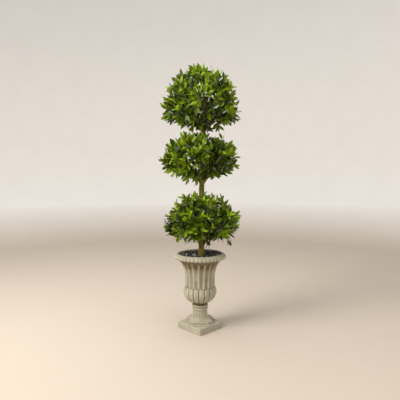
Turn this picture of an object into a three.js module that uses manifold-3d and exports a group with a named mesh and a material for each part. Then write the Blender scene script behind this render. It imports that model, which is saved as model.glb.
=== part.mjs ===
// Artificial sweet bay topiary: three clipped tiers on one stem, potted in a fluted, footed urn.
// Millimetres, +Z up. The origin is the centre of the plinth's underside, and the front looks along -Y.

import * as THREE from "three";
import { mergeVertices } from "three/addons/utils/BufferGeometryUtils.js";
import Module from "manifold-3d";

const wasm = await Module();
wasm.setup();

// A point of a turned outline
const point = (radius, height) => new THREE.Vector2(radius, height);

const clear = 0.3; // gap between pieces that touch
const sliver = 0.05; // an edge shorter than this is closed up where two solids join
const leastHeight = 0.002; // of a triangle in a grown mass

// Driving dimensions of the urn
const plinth = { side: 187, height: 36, chamfer: 3 };
const pedestal = {
  columns: 32,
  skirtSteps: 6,
  steps: [ // squares over the plinth, each less its corners, which are cut off at a distance from the axis
    { foot: 34, top: 45, half: 90, cut: 80 },
    { foot: 44, top: 55, half: 82.5, cut: 70 },
  ],
  skirtRadius: 67,
  skirtBend: 58,
  waistRadius: 42,
  waistHeight: 104,
  ringRadius: 45.5,
  ringTop: 128,
  collarRadius: 48,
  collarTop: 144,
  bead: 3,
};
const bowl = {
  flutes: 18,
  columnsPerFlute: 3,
  turn: THREE.MathUtils.degToRad(-4.2), // a ridge stands this far round from the front
  neck: point(40, 156),
  underBelly: point(88, 168), // where the curve from the neck to the belly bends
  belly: point(98, 215),
  shoulder: point(95.5, 237),
  belt: point(88, 252),
  wall: point(87.5, 280),
  wallTop: point(88.5, 315),
  flareBend: point(91.5, 350),
  flare: point(103.5, 380),
  underRim: point(112, 394),
  lobeDepth: 8,
  fluteDepth: 6,
};
const rim = {
  radius: 154,
  top: 449,
  mouthRadius: 123,
  breadth: 22, // its section is two parts of ellipses of this breadth,
  rise: 20, // one above its widest level
  drop: 13, // and one below it
  start: -0.42 * Math.PI,
};
const cavity = {
  floor: 240,
  floorRadius: 66,
  throatRadius: 74,
  throatHeight: 345,
  shoulderRadius: 109,
  shoulderHeight: 406,
  mouthHeight: 424,
};
const soil = { top: 431, edgeDrop: 5, flatRadius: 45 };

// Driving dimensions of the plant
const trunk = {
  foot: soil.top + clear,
  tip: 1400,
  offset: 6.5,
  lean: 14,
  sway: 3.5,
  radius: 16.8,
  tipShare: 0.3, // of the radius, left at the tip
  taperPower: 2.2,
  flare: 3.8,
  flareHeight: 18,
  sides: 10,
  steps: 16,
};
const leaf = {
  length: 78,
  width: 27,
  fold: 3.5,
  widest: 0.42,
  sunk: 1,
  shortest: 0.84, // of the length
  longest: 1.08,
};
const twig = {
  radius: 2.6,
  tipRadius: 2,
  steps: 2,
  bend: 0.35,
  leaves: 8,
  firstLeaf: 0.56,
  lastLeaf: 0.95,
  tipLeaf: 0.99,
  firstSpread: 1.3, // radians that a leaf stands off the twig
  lastSpread: 0.75,
  shortfall: 0.62, // of a leaf's length, that a twig stays inside the outline
  depth: 0.78, // of the outline, that a leaf's tip at least comes to
};
const stem = { tipRadius: 4, steps: 3, reach: 0.42, bend: 0.4, firstTwig: 0.1, lastTwig: 0.97 };
const elbow = { reach: 0.45, rise: 0.65 }; // where a bough bends, as shares of its own reach and rise
const boughStagger = 17;
const reach = 1.03; // of a tier's outline, that a leaf's tip may come to
const uneven = { turn: 0.2, depth: 0.07 }; // how far a spray may stand off its even place
const leaderStem = { rise: 0.4, radius: 0.9 }; // shares of the height over the trunk, and of its tip
const leafTries = 12;
const massTries = 8;

// The dense heart of a tier, and how far it stays inside the outline on all sides
const core = { columns: 12, rows: 6, gap: 12, bumps: 0.1, depth: 100, depthAbove: 84, depthBelow: 56 };
const seam = 1; // between a mass and the faces of its space
const goldenAngle = Math.PI * (3 - Math.sqrt(5));

// Each tier of foliage. Its outline is a rounded dome, up above and down below its widest level.
// A stray is a spray that hangs or stands out of the outline: where it ends, and how many leaves it has.
const tiers = [
  {
    name: "lower",
    seed: 11,
    centre: new THREE.Vector3(14, 0, 632),
    radius: 231,
    up: 168,
    down: 128,
    floor: 446,
    ceiling: 822,
    sprays: 28,
    boughs: 6,
    firstBough: 18,
    boughFoot: 494,
    boughRise: 54,
    boughReach: 52,
    boughRadius: 7.5,
    boughTipRadius: 5,
    strays: [
      { tip: new THREE.Vector3(52, -26, 456), leaves: 5 },
      { tip: new THREE.Vector3(-232, -20, 556), leaves: 4 },
      { tip: new THREE.Vector3(243, 22, 616), leaves: 4 },
      { tip: new THREE.Vector3(176, -66, 508), leaves: 4 },
    ],
  },
  {
    name: "middle",
    seed: 5,
    centre: new THREE.Vector3(-4, 0, 985),
    radius: 230,
    up: 172,
    down: 112,
    floor: 826,
    ceiling: 1157,
    sprays: 28,
    boughs: 6,
    firstBough: 42,
    boughFoot: 858,
    boughRise: 50,
    boughReach: 50,
    boughRadius: 6.8,
    boughTipRadius: 4.6,
    strays: [
      { tip: new THREE.Vector3(-68, -34, 838), leaves: 4 },
      { tip: new THREE.Vector3(-246, 12, 988), leaves: 4 },
      { tip: new THREE.Vector3(236, -14, 984), leaves: 4 },
    ],
  },
  {
    name: "top",
    seed: 23,
    centre: new THREE.Vector3(5, 0, 1300),
    radius: 232,
    up: 246,
    down: 136,
    floor: 1162,
    ceiling: 1560,
    sprays: 34,
    boughs: 6,
    firstBough: 6,
    boughFoot: 1158,
    boughRise: 48,
    boughReach: 44,
    boughRadius: 5.8,
    boughTipRadius: 4.4,
    strays: [
      { tip: new THREE.Vector3(-243, -16, 1284), leaves: 4 },
      { tip: new THREE.Vector3(240, -30, 1246), leaves: 4 },
      { tip: new THREE.Vector3(-22, -8, 1551), leaves: 4 },
    ],
    leader: { halfAngle: 40, rise: 60 }, // the cone of the mass on the trunk's tip
  },
];

// Turns a closed geometry into a solid that can be joined and cut.
function solidOf(geometry) {
  const bare = new THREE.BufferGeometry().setAttribute("position", geometry.getAttribute("position"));
  if (geometry.index) bare.setIndex(geometry.index);
  const merged = mergeVertices(bare, 1e-3);
  return new wasm.Manifold(
    new wasm.Mesh({
      numProp: 3,
      vertProperties: merged.attributes.position.array,
      triVerts: new Uint32Array(merged.index.array),
    }),
  );
}

// Turns a solid back into a geometry.
function geometryOf(solid) {
  const mesh = solid.getMesh();
  const geometry = new THREE.BufferGeometry();
  geometry.setAttribute("position", new THREE.BufferAttribute(mesh.vertProperties, mesh.numProp));
  geometry.setIndex(new THREE.BufferAttribute(mesh.triVerts, 1));
  geometry.computeVertexNormals();
  return geometry;
}

// Joins solids into one body. A loose scrap is dropped, and slivers along the joins are closed.
function fused(solids) {
  const bodies = wasm.Manifold.union(solids).decompose();
  const whole = bodies.reduce((largest, body) => (body.volume() > largest.volume() ? body : largest));
  return whole.simplify(sliver);
}

// The least height of a solid's triangles, which is tiny where two faces only just cross.
function thinnest(solid) {
  const { position } = geometryOf(solid).attributes;
  const { index } = geometryOf(solid);
  const triangle = new THREE.Triangle();
  let least = Infinity;
  for (let i = 0; i < index.count; i += 3) {
    triangle.setFromAttributeAndIndices(position, index.getX(i), index.getX(i + 1), index.getX(i + 2));
    const { a, b, c } = triangle;
    const longest = Math.max(a.distanceTo(b), b.distanceTo(c), c.distanceTo(a));
    least = Math.min(least, (2 * triangle.getArea()) / longest);
  }
  return least;
}

// A solid of revolution about Z from (radius, height) points. drawnIn says how far a point is pulled in.
function turned(points, columns, turn = 0, drawnIn = () => 0) {
  const geometry = new THREE.LatheGeometry(points, columns, turn);
  geometry.rotateX(Math.PI / 2);
  const place = geometry.attributes.position;
  for (let i = 0; i < place.count; i++) {
    const radius = Math.hypot(place.getX(i), place.getY(i));
    if (radius < 1e-3) continue;
    const angle = Math.atan2(place.getX(i), -place.getY(i)) - turn;
    const share = 1 - drawnIn(angle, place.getZ(i)) / radius;
    place.setXY(i, place.getX(i) * share, place.getY(i) * share);
  }
  return solidOf(geometry);
}

function curve(from, control, to, steps) {
  return new THREE.QuadraticBezierCurve(from, control, to).getPoints(steps);
}

// The square plinth, a corner to the front.
function makePlinth() {
  const half = plinth.side / 2 - plinth.chamfer;
  const signs = [[-1, -1], [1, -1], [1, 1], [-1, 1]];
  const square = new THREE.Shape(signs.map(([x, y]) => point(x * half, y * half)));
  const geometry = new THREE.ExtrudeGeometry(square, {
    depth: plinth.height - 2 * plinth.chamfer,
    bevelThickness: plinth.chamfer,
    bevelSize: plinth.chamfer,
    bevelSegments: 1,
  });
  geometry.translate(0, 0, plinth.chamfer);
  geometry.rotateZ(Math.PI / 4);
  return solidOf(geometry);
}

// One of the steps on the plinth: eight sides, four of them along the plinth's.
function makeStep({ foot, top, half, cut }) {
  const side = half * Math.SQRT2 - cut;
  const quarter = [[cut, -side], [cut, side]];
  const corners = [0, 1, 2, 3].flatMap((turns) =>
    quarter.map(([x, y]) => point(x, y).rotateAround(point(0, 0), (turns * Math.PI) / 2)),
  );
  const geometry = new THREE.ExtrudeGeometry(new THREE.Shape(corners), { depth: top - foot, bevelEnabled: false });
  geometry.translate(0, 0, foot);
  return solidOf(geometry);
}

// The skirt that flares onto the steps, and the ring and collar under the bowl.
function makePedestal() {
  const { skirtRadius, skirtBend, waistRadius, waistHeight, ringRadius, ringTop, bead } = pedestal;
  const stepTop = pedestal.steps.at(-1).top;
  const points = [
    point(0, plinth.height),
    point(skirtRadius, plinth.height),
    ...curve(
      point(skirtRadius, stepTop + clear),
      point(waistRadius + bead, skirtBend),
      point(waistRadius, waistHeight),
      pedestal.skirtSteps,
    ),
    point(ringRadius, waistHeight + bead),
    point(ringRadius, ringTop - bead),
    point(ringRadius - bead, ringTop),
    point(pedestal.collarRadius, ringTop + bead),
    point(pedestal.collarRadius, pedestal.collarTop - bead),
    point(pedestal.collarRadius - bead, pedestal.collarTop),
    point(0, pedestal.collarTop),
  ];
  return turned(points, pedestal.columns);
}

// The bowl: lobes round its belly, flutes up its wall, and the heavy rim.
function makeBowl() {
  const { neck, underBelly, belly, shoulder, belt, wall, wallTop, flareBend, flare, underRim } = bowl;
  const { breadth, rise, drop, start } = rim;
  const rimPart = (height, from, to) =>
    new THREE.EllipseCurve(rim.radius - breadth, rim.top - rise, breadth, height, from, to);
  const foot = pedestal.collarTop - pedestal.bead;
  const points = [
    point(0, foot),
    point(neck.x, foot),
    ...curve(neck, underBelly, belly, 5),
    shoulder,
    belt,
    wall,
    ...curve(wallTop, flareBend, flare, 2),
    underRim,
    ...rimPart(drop, start, 0).getPoints(3),
    ...rimPart(rise, 0, Math.PI / 2).getPoints(4).slice(1),
    point(0, rim.top),
  ];
  const drawnIn = (angle, height) => {
    const bulge = Math.abs(Math.sin((angle * bowl.flutes) / 2));
    if (height > neck.y + 1 && height < belt.y - 1) return bowl.lobeDepth * (1 - bulge);
    if (height >= belt.y - 1 && height <= flare.y + 1) return bowl.fluteDepth * bulge;
    return 0;
  };
  return turned(points, bowl.flutes * bowl.columnsPerFlute, bowl.turn, drawnIn);
}

// The hollow of the bowl, or, drawn in a little and lower, the soil that fills it.
function hollowOutline(gap, top) {
  return [
    point(0, cavity.floor + gap),
    point(cavity.floorRadius - gap, cavity.floor + gap),
    point(cavity.throatRadius - gap, cavity.throatHeight),
    point(cavity.shoulderRadius - gap, cavity.shoulderHeight),
    point(rim.mouthRadius - gap, cavity.mouthHeight),
    ...top,
  ];
}

function makeUrn() {
  const hollow = turned(
    hollowOutline(0, [point(rim.mouthRadius, rim.top + 1), point(0, rim.top + 1)]),
    pedestal.columns,
  );
  const steps = pedestal.steps.map(makeStep);
  return fused([makePlinth(), ...steps, makePedestal(), makeBowl()]).subtract(hollow);
}

function makeSoil() {
  const top = [
    point(rim.mouthRadius - clear, soil.top - soil.edgeDrop),
    point(soil.flatRadius, soil.top),
    point(0, soil.top),
  ];
  return turned(hollowOutline(clear, top), pedestal.columns);
}

// The trunk's centre line and radius at a height.
const trunkShare = (z) => (z - trunk.foot) / (trunk.tip - trunk.foot);

function trunkAt(z) {
  const share = trunkShare(z);
  const x = trunk.offset + trunk.lean * share + trunk.sway * Math.sin(3 * Math.PI * share);
  return new THREE.Vector3(x, trunk.sway * Math.sin(2 * Math.PI * share + 1), z);
}

function trunkRadius(z) {
  const taper = 1 - (1 - trunk.tipShare) * Math.max(0, trunkShare(z)) ** trunk.taperPower;
  return trunk.radius * taper + trunk.flare * Math.exp((trunk.foot - z) / trunk.flareHeight);
}

// A tapering limb: a closed cylinder whose rings are carried along a curve.
function limb(path, radiusAt, sides, steps) {
  const geometry = new THREE.CylinderGeometry(1, 1, 1, sides, steps);
  const frames = path.computeFrenetFrames(steps);
  const centres = path.getSpacedPoints(steps);
  const place = geometry.attributes.position;
  for (let i = 0; i < place.count; i++) {
    const ring = Math.round((place.getY(i) + 0.5) * steps);
    const radius = radiusAt(ring / steps);
    const moved = centres[ring]
      .clone()
      .addScaledVector(frames.normals[ring], place.getX(i) * radius)
      .addScaledVector(frames.binormals[ring], -place.getZ(i) * radius);
    place.setXYZ(i, moved.x, moved.y, moved.z);
  }
  return solidOf(geometry);
}

const between = (a, b, share) => a + (b - a) * share;
const bend = (from, control, to) => new THREE.QuadraticBezierCurve3(from, control, to);

// A limb is straight from ring to ring, so what grows on it starts on the chord between two rings.
function chordAt(path, steps, share) {
  const ring = Math.min(Math.floor(share * steps), steps - 1);
  const [from, to] = path.getSpacedPoints(steps).slice(ring);
  const along = to.clone().sub(from).normalize();
  return { point: from.clone().lerp(to, share * steps - ring), along, ring };
}

// The directions that the three flat sides of a limb look in, at one of its rings.
function sideNormals(path, steps, ring) {
  const frames = path.computeFrenetFrames(steps);
  return [0, 1, 2].map((side) => {
    const angle = (side * 2 * Math.PI) / 3;
    return frames.binormals[ring]
      .clone()
      .multiplyScalar(Math.cos(angle))
      .addScaledVector(frames.normals[ring], -Math.sin(angle));
  });
}

// The trunk, grown all round by a gap. Its rings lie level, so its foot is a flat cut.
function makeTrunk(gap = 0) {
  const geometry = new THREE.CylinderGeometry(1, 1, 1, trunk.sides, trunk.steps);
  geometry.rotateX(Math.PI / 2);
  const place = geometry.attributes.position;
  for (let i = 0; i < place.count; i++) {
    const z = between(trunk.foot - gap, trunk.tip + gap, place.getZ(i) + 0.5);
    const centre = trunkAt(z);
    const radius = trunkRadius(z) + gap;
    place.setXYZ(i, centre.x + place.getX(i) * radius, centre.y + place.getY(i) * radius, z);
  }
  return solidOf(geometry);
}

// A bough leaves the trunk, rises and bends outwards. Every other one starts lower.
function boughPath(tier, index) {
  const azimuth = THREE.MathUtils.degToRad(tier.firstBough) + (index * 2 * Math.PI) / tier.boughs;
  const out = new THREE.Vector3(Math.sin(azimuth), -Math.cos(azimuth), 0);
  const foot = trunkAt(tier.boughFoot - (index % 2) * boughStagger);
  const placed = (outShare, riseShare) =>
    foot
      .clone()
      .addScaledVector(out, tier.boughReach * outShare)
      .setZ(between(foot.z, tier.boughFoot + tier.boughRise, riseShare));
  const knee = placed(elbow.reach, elbow.rise);
  const tip = placed(1, 1);
  return { azimuth, out, path: bend(foot, knee, tip), tip, direction: tip.clone().sub(knee).normalize() };
}

// It is cut clear of the trunk's bark.
const makeBough = (tier, bough) =>
  limb(bough.path, (share) => between(tier.boughRadius, tier.boughTipRadius, share), 6, 3).subtract(
    makeTrunk(clear),
  );

// A seeded source of numbers from 0 to 1.
function seeded(seed) {
  let state = seed;
  return () => {
    state = (state * 1664525 + 1013904223) % 4294967296;
    return state / 4294967296;
  };
}

// How far out a point lies: 1 on the tier's outline, less inside it.
function outlineShare(tier, p) {
  const across = Math.hypot(p.x - tier.centre.x, p.y - tier.centre.y) / tier.radius;
  const height = (p.z - tier.centre.z) / (p.z > tier.centre.z ? tier.up : tier.down);
  return Math.sqrt(across ** 2 + height ** 2);
}

// The point of the tier's outline in a direction given by azimuth and by the cosine from straight up.
function outlinePoint(tier, azimuth, upward) {
  const across = tier.radius * Math.sqrt(1 - upward ** 2);
  const height = upward * (upward > 0 ? tier.up : tier.down);
  return new THREE.Vector3(across * Math.sin(azimuth), -across * Math.cos(azimuth), height).add(tier.centre);
}

// A mass keeps to its own space: inside flat faces, and clear of the limbs.
function fits(space, points, margin) {
  return points.every(
    (p) =>
      space.planes.every((plane) => plane.distanceToPoint(p) >= margin) &&
      space.limbs.every(({ line, radius }) => {
        const nearest = line.closestPointToPoint(p, true, new THREE.Vector3());
        return nearest.distanceTo(p) >= radius + margin + 1;
      }),
  );
}

// The faces of a wedge round the trunk, from the tier's floor to its ceiling.
function wedge(tier, azimuth, halfWidth) {
  const foot = trunkAt(tier.centre.z);
  const sides = [-1, 1].map((side) => {
    const edge = azimuth + side * halfWidth;
    const normal = new THREE.Vector3(-side * Math.cos(edge), -side * Math.sin(edge), 0);
    return new THREE.Plane().setFromNormalAndCoplanarPoint(normal, foot);
  });
  return [
    ...sides,
    new THREE.Plane(new THREE.Vector3(0, 0, 1), -tier.floor),
    new THREE.Plane(new THREE.Vector3(0, 0, -1), tier.ceiling),
  ];
}

// The flat face that parts a side mass from the leader's cone, or that holds the leader inside it.
function conePlane(tier, azimuth, facing) {
  const halfAngle = THREE.MathUtils.degToRad(tier.leader.halfAngle);
  const apex = trunkAt(trunk.tip - tier.leader.rise);
  const normal = new THREE.Vector3(Math.sin(azimuth), -Math.cos(azimuth), 0)
    .multiplyScalar(Math.cos(halfAngle))
    .setZ(-Math.sin(halfAngle))
    .multiplyScalar(facing);
  return new THREE.Plane().setFromNormalAndCoplanarPoint(normal, apex);
}

// The dense heart of a mass: the tier's outline drawn in, uneven, and cut to the faces of the mass's space.
function makeCore(tier, planes) {
  const geometry = new THREE.SphereGeometry(1, core.columns, core.rows);
  geometry.rotateX(Math.PI / 2);
  const place = geometry.attributes.position;
  for (let i = 0; i < place.count; i++) {
    const [x, y, z] = [place.getX(i), place.getY(i), place.getZ(i)];
    const bump = 1 + core.bumps * Math.sin(5 * x + 2 * z + tier.seed) * Math.cos(4 * y - 3 * z + tier.seed);
    const height = z > 0 ? tier.up - core.depthAbove : tier.down - core.depthBelow;
    const across = tier.radius - core.depth;
    place.setXYZ(i, x * across * bump, y * across * bump, z * height * bump);
  }
  geometry.translate(tier.centre.x, tier.centre.y, tier.centre.z);
  return planes.reduce(
    (solid, plane) => solid.trimByPlane(plane.normal.toArray(), 3 * seam - plane.constant),
    solidOf(geometry),
  );
}

// A leaf's place: its root, the way its midrib runs, and the way its upper face looks.
function leafMatrix(root, along, up) {
  const side = new THREE.Vector3().crossVectors(along, up).normalize();
  const face = new THREE.Vector3().crossVectors(side, along);
  return new THREE.Matrix4().makeBasis(side, along, face).setPosition(root);
}

// A leaf is a blade that falls away on both sides of its midrib. Its root is sunk in the twig.
function makeLeaf(length, matrix) {
  const scale = length / leaf.length;
  const widest = leaf.widest * length;
  const half = (leaf.width * scale) / 2;
  const fall = -leaf.fold * scale;
  const [root, left, right, tip] = [
    [0, -leaf.sunk, 0],
    [-half, widest, fall],
    [half, widest, fall],
    [0, length, 0],
  ].map((corner) => new THREE.Vector3(...corner).applyMatrix4(matrix));
  const faces = [[root, tip, left], [root, right, tip], [root, left, right], [tip, right, left]];
  return {
    geometry: new THREE.BufferGeometry().setFromPoints(faces.flat()),
    length,
    root,
    tip,
    corners: [left, right, tip, root.clone().lerp(tip, 0.5)],
    inverse: matrix.clone().invert(),
    edges: [[root, left], [left, tip], [tip, right], [right, root], [root, tip]],
  };
}

// Whether a straight stretch passes through a leaf's blade, or lies close against it.
function pierces(blade, from, to) {
  const a = from.clone().applyMatrix4(blade.inverse);
  const b = to.clone().applyMatrix4(blade.inverse);
  if (a.z * b.z > 0 && Math.min(Math.abs(a.z), Math.abs(b.z)) > leaf.fold) return false;
  const hit = a.lerp(b, THREE.MathUtils.clamp(a.z / (a.z - b.z), 0, 1));
  const widest = leaf.widest * blade.length;
  const narrowing = hit.y < widest ? hit.y / widest : (blade.length - hit.y) / (blade.length - widest);
  return Math.abs(hit.x) < (narrowing * leaf.width) / 2 + seam;
}

// Whether two leaves cross.
function leavesCross(a, b) {
  if (a.tip.distanceTo(b.tip) > 2 * leaf.length) return false;
  return (
    a.edges.some(([from, to]) => pierces(b, from, to)) || b.edges.some(([from, to]) => pierces(a, from, to))
  );
}

// The leaves of one twig, set round it on its three sides in turn, with one at its tip.
function growLeaves(tier, space, path, count, random) {
  const out = path.getPoint(1).sub(tier.centre).normalize();
  for (let i = 0; i <= count; i++) {
    const last = i === count;
    const place = last ? twig.tipLeaf : between(twig.firstLeaf, twig.lastLeaf, i / (count - 1));
    const { point: root, along: tangent, ring } = chordAt(path, twig.steps, place);
    const sides = sideNormals(path, twig.steps, ring);
    const length = leaf.length * between(leaf.shortest, leaf.longest, random());
    for (let attempt = 0; attempt < leafTries; attempt++) {
      const aside = sides[(i + attempt) % 3].clone().applyAxisAngle(tangent, random() - 0.5);
      const wider = 0.1 * (Math.floor(attempt / 3) - 1);
      const spread = last
        ? 0.1 * (attempt + 1)
        : between(twig.firstSpread, twig.lastSpread, i / count) + wider;
      const along = tangent
        .clone()
        .multiplyScalar(Math.cos(spread))
        .addScaledVector(aside, Math.sin(spread))
        .addScaledVector(out, 0.1)
        .normalize();
      const up = new THREE.Vector3(random() - 0.5, random() - 0.5, random()).addScaledVector(out, 0.6);
      const blade = makeLeaf(length, leafMatrix(root, along, up));
      const share = outlineShare(tier, blade.tip);
      if (share < twig.depth || share > space.reach || !fits(space, blade.corners, seam)) continue;
      if (space.leaves.some((other) => leavesCross(other, blade))) continue;
      if (space.twigs.some((other) => other.path !== path && pierces(blade, other.from, other.to))) continue;
      space.leaves.push(blade);
      break;
    }
  }
}

// The twigs of a stem. Those that end further along it start further along it, each from its own place.
function branch(tier, stemPath, ends) {
  const foot = stemPath.getPoint(0);
  const ahead = stemPath.getPoint(1).sub(foot).normalize();
  const reachAhead = (end) => end.tip.clone().sub(foot).dot(ahead);
  const ordered = [...ends].sort((a, b) => reachAhead(a) - reachAhead(b));
  return ordered.map((end, i) => {
    const inward = tier.centre.clone().sub(end.tip).normalize();
    const to = end.tip.clone().addScaledVector(inward, leaf.length * twig.shortfall);
    const place = between(stem.firstTwig, stem.lastTwig, i / Math.max(1, ends.length - 1));
    const start = chordAt(stemPath, stem.steps, place);
    const control = start.point.clone().addScaledVector(start.along, start.point.distanceTo(to) * twig.bend);
    return { ...end, path: bend(start.point, control, to) };
  });
}

// The straight stretches of a limb, as its rings leave them.
function stretches(path, steps) {
  const points = path.getSpacedPoints(steps);
  return points.slice(1).map((to, i) => ({ path, from: points[i], to }));
}

// One mass of foliage: its core, a stem, twigs to the ends that are its own, and their leaves.
// It is grown afresh until no sliver is left along its joins.
function makeMass(tier, space, stemPath, stemRadius, ends, random) {
  const shoots = branch(tier, stemPath, ends).filter((shoot) =>
    fits(space, shoot.path.getPoints(6).slice(1), twig.radius),
  );
  const paths = shoots.map((shoot) => shoot.path);
  const twigs = [...stretches(stemPath, stem.steps), ...paths.flatMap((path) => stretches(path, twig.steps))];
  const stemTaper = (share) => between(stemRadius, stem.tipRadius, share);
  const twigTaper = (share) => between(twig.radius, twig.tipRadius, share);
  const wood = [
    makeCore(tier, space.corePlanes),
    limb(stemPath, stemTaper, 3, stem.steps),
    ...paths.map((path) => limb(path, twigTaper, 3, twig.steps)),
  ];
  let best;
  for (let attempt = 0; attempt < massTries; attempt++) {
    const leaves = [];
    for (const shoot of shoots) {
      const own = { ...space, leaves, twigs, reach: Math.max(reach, outlineShare(tier, shoot.tip)) };
      growLeaves(tier, own, shoot.path, shoot.leaves, random);
    }
    const solid = fused([...wood, ...leaves.map((blade) => solidOf(blade.geometry))]);
    const height = thinnest(solid);
    if (!best || height > best.height) best = { solid, height };
    if (height > leastHeight) break;
  }
  return best.solid;
}

// Where the tier's twigs end: even over its outline, plus its strays.
function tierEnds(tier, random) {
  const ends = [];
  for (let i = 0; i < tier.sprays; i++) {
    const upward = 1 - (2 * (i + 0.5)) / tier.sprays;
    const azimuth = i * goldenAngle + tier.seed + uneven.turn * (random() - 0.5);
    const tip = outlinePoint(tier, azimuth, upward);
    tip.lerp(tier.centre, uneven.depth * random());
    ends.push({ tip, leaves: twig.leaves });
  }
  return [...ends, ...tier.strays];
}

// Straight stretches that stand for the limbs inside a tier when the distance to them is measured.
function tierLimbs(tier, boughs) {
  const top = Math.min(tier.ceiling, trunk.tip);
  const heights = Array.from({ length: 13 }, (_, i) => between(tier.floor - 20, top, i / 12));
  const trunkLimbs = heights.slice(1).map((to, i) => ({
    line: new THREE.Line3(trunkAt(heights[i]), trunkAt(to)),
    radius: trunkRadius(heights[i]),
  }));
  const boughLimbs = boughs.flatMap((bough) => {
    const points = bough.path.getPoints(4);
    return points.slice(1).map((to, i) => ({
      line: new THREE.Line3(points[i], to),
      radius: tier.boughRadius,
    }));
  });
  return [...trunkLimbs, ...boughLimbs];
}

// A side mass: the wedge of the tier above one bough.
function sideMass(tier, bough, limbs, ends, random) {
  const foot = trunkAt(tier.centre.z);
  const planes = wedge(tier, bough.azimuth, Math.PI / tier.boughs);
  if (tier.leader) planes.push(conePlane(tier, bough.azimuth, 1));
  const innerEdge = foot.clone().addScaledVector(bough.out, trunk.radius + core.gap);
  const inner = new THREE.Plane().setFromNormalAndCoplanarPoint(bough.out, innerEdge);
  const from = bough.tip.clone().addScaledVector(bough.direction, clear);
  const to = tier.centre.clone().addScaledVector(bough.out, tier.radius * stem.reach);
  const control = from.clone().addScaledVector(bough.direction, from.distanceTo(to) * stem.bend);
  const space = { planes, corePlanes: [...planes, inner], limbs };
  return makeMass(tier, space, bend(from, control, to), tier.boughTipRadius, ends, random);
}

// The mass on the trunk's tip, in a cone that opens upwards.
function leaderMass(tier, boughs, limbs, ends, random) {
  const planes = boughs.map((bough) => conePlane(tier, bough.azimuth, -1));
  const foot = new THREE.Plane(new THREE.Vector3(0, 0, 1), -(trunk.tip + core.gap));
  const from = trunkAt(trunk.tip).setZ(trunk.tip + clear);
  const to = from.clone().setZ(between(trunk.tip, tier.centre.z + tier.up, leaderStem.rise));
  const space = { planes, corePlanes: [...planes, foot], limbs };
  const path = bend(from, from.clone().lerp(to, 0.5), to);
  return makeMass(tier, space, path, trunkRadius(trunk.tip) * leaderStem.radius, ends, random);
}

// Everything of one tier: its boughs and its masses, each with a name.
function growTier(tier) {
  const random = seeded(tier.seed);
  const boughs = Array.from({ length: tier.boughs }, (_, i) => boughPath(tier, i));
  const limbs = tierLimbs(tier, boughs);
  const foot = trunkAt(tier.centre.z);
  const bearing = (p) => Math.atan2(p.x - foot.x, foot.y - p.y);
  const inLeader = (p) => tier.leader && conePlane(tier, bearing(p), -1).distanceToPoint(p) > 0;
  const nearBough = (p, bough) => {
    const turn = THREE.MathUtils.euclideanModulo(bearing(p) - bough.azimuth + Math.PI, 2 * Math.PI);
    return Math.abs(turn - Math.PI) <= Math.PI / tier.boughs;
  };
  const all = tierEnds(tier, random);

  const grown = boughs.flatMap((bough, i) => {
    const ends = all.filter((end) => nearBough(end.tip, bough) && !inLeader(end.tip));
    return [
      [`${tier.name}_bough_${i + 1}`, "bark", makeBough(tier, bough)],
      [`${tier.name}_foliage_${i + 1}`, "leaf", sideMass(tier, bough, limbs, ends, random)],
    ];
  });
  if (tier.leader) {
    const ends = all.filter((end) => inLeader(end.tip));
    grown.push([`${tier.name}_foliage_leader`, "leaf", leaderMass(tier, boughs, limbs, ends, random)]);
  }
  return grown;
}

const materials = {
  stone: new THREE.MeshStandardMaterial({ color: 0xb5aa8c, roughness: 0.85, metalness: 0 }),
  earth: new THREE.MeshStandardMaterial({ color: 0x2e2a25, roughness: 0.95, metalness: 0 }),
  bark: new THREE.MeshStandardMaterial({ color: 0x5f5828, roughness: 0.9, metalness: 0 }),
  leaf: new THREE.MeshStandardMaterial({ color: 0x4f6e1c, roughness: 0.4, metalness: 0 }),
};

const topiary = new THREE.Group();
const pieces = [
  ["urn", "stone", makeUrn()],
  ["soil", "earth", makeSoil()],
  ["trunk", "bark", makeTrunk()],
  ...tiers.flatMap(growTier),
];
for (const [name, material, solid] of pieces) {
  const mesh = new THREE.Mesh(geometryOf(solid), materials[material]);
  mesh.name = name;
  topiary.add(mesh);
}

export default topiary;
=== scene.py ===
import math
from math import pi

import bpy
import numpy as np
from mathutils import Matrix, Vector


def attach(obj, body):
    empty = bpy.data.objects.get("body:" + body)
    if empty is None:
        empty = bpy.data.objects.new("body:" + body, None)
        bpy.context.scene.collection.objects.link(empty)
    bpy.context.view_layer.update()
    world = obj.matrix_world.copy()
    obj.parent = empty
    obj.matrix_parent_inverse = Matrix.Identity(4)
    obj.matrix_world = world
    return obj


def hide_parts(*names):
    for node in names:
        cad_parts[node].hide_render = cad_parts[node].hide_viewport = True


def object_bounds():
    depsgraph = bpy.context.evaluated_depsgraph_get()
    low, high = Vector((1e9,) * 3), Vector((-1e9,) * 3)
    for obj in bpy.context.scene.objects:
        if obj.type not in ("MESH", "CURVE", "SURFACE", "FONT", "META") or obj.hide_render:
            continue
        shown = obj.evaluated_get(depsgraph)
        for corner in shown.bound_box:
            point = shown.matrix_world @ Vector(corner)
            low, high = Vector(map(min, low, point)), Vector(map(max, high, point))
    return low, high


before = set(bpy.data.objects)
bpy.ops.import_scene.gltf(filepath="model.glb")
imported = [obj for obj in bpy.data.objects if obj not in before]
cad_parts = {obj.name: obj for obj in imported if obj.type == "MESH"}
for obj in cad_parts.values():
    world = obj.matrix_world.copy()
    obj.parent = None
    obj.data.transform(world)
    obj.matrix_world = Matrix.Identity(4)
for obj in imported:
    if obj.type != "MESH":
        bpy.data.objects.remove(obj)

# An artificial bay topiary: three clipped tiers on one stem, potted in a fluted, footed urn.
# Sizes are in millimetres and become metres when a mesh is made. +Z is up and the front looks along -Y.
mm = 0.001
goldenAngle = pi * (3 - math.sqrt(5))
cadBox = [list(corner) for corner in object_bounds()]


# Small tools for points, faces and pieces.

def lengthOf(vectors):
    return np.linalg.norm(vectors, axis=-1, keepdims=True)


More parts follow.
